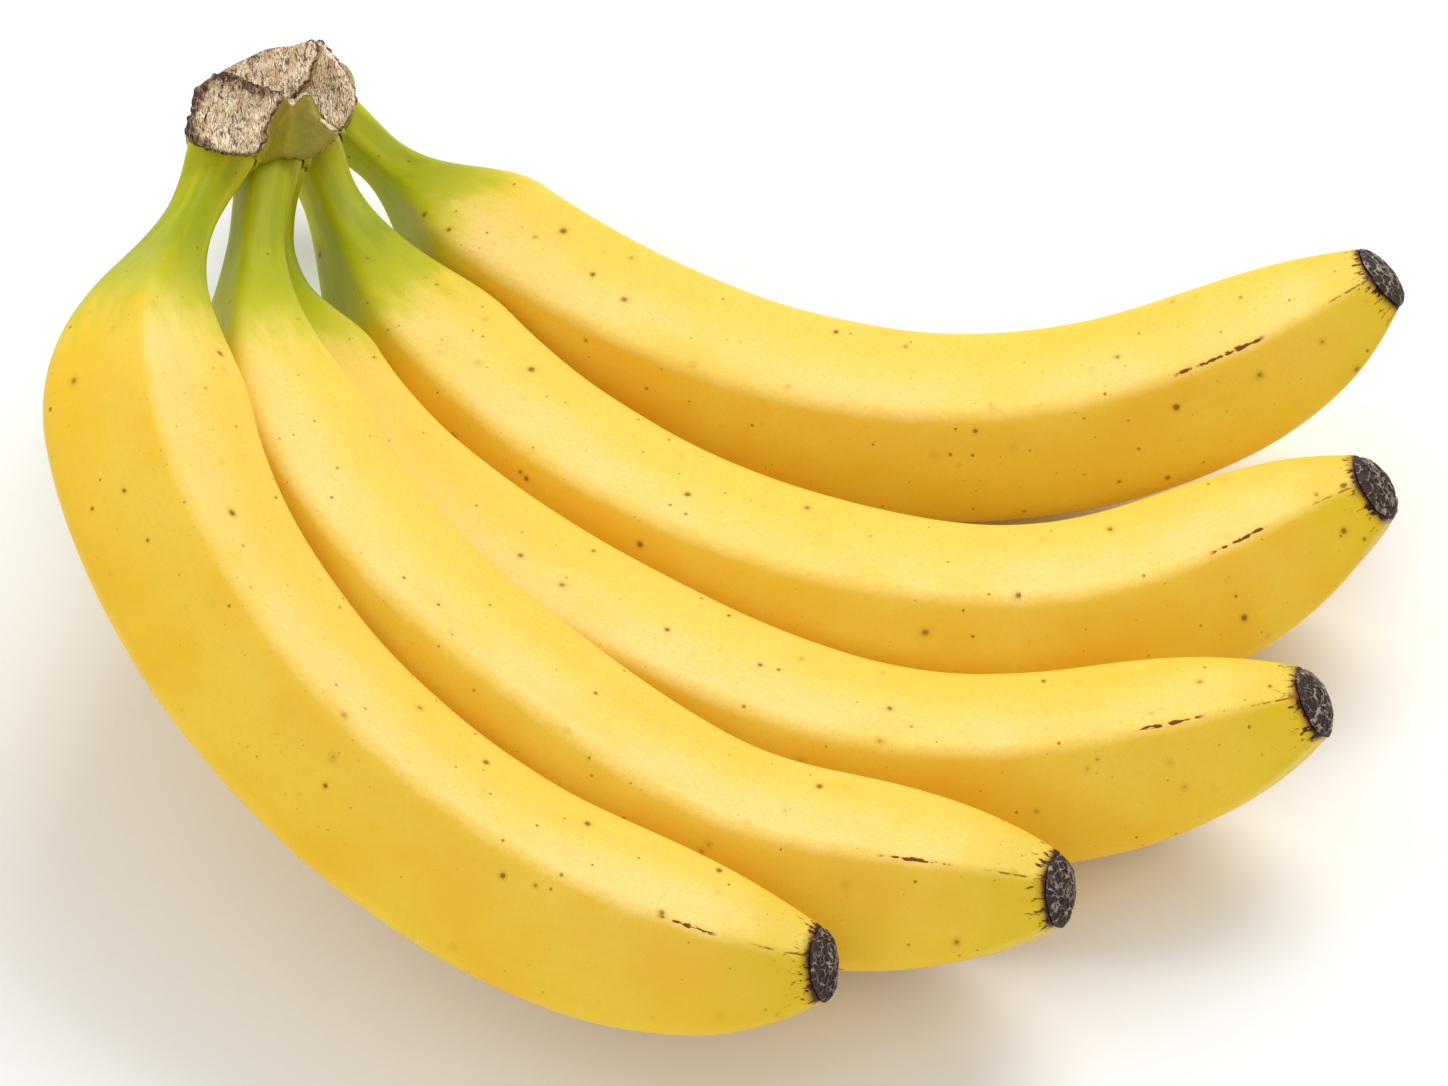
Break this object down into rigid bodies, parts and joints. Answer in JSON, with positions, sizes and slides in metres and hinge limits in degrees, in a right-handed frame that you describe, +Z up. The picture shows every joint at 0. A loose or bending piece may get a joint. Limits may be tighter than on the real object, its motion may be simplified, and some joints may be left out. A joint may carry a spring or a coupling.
{
  "type": "bunch of bananas",
  "caption": "Hand of ripe yellow bananas with green necks, joined at a cut crown and lying on a flat surface.",
  "frame": {"origin": "middle of the hand's outline on the surface that it lies on", "axes": "+X from the crown towards the blossom ends, +Y towards the back banana, +Z up"},
  "size_m": [0.2493, 0.2384, 0.085],
  "materials": {
    "peel": "satin yellow banana peel, green at the neck",
    "crown": "dry tan fibres, rough",
    "tip": "dry dark brown, rough"
  },
  "bodies": {
    "root": {"crown": "crown", "banana_1": "peel", "tip_1": "tip", "banana_2": "peel", "tip_2": "tip", "banana_3": "peel", "tip_3": "tip", "banana_4": "peel", "tip_4": "tip", "banana_5": "peel", "tip_5": "tip"}
  },
  "joints": []
}
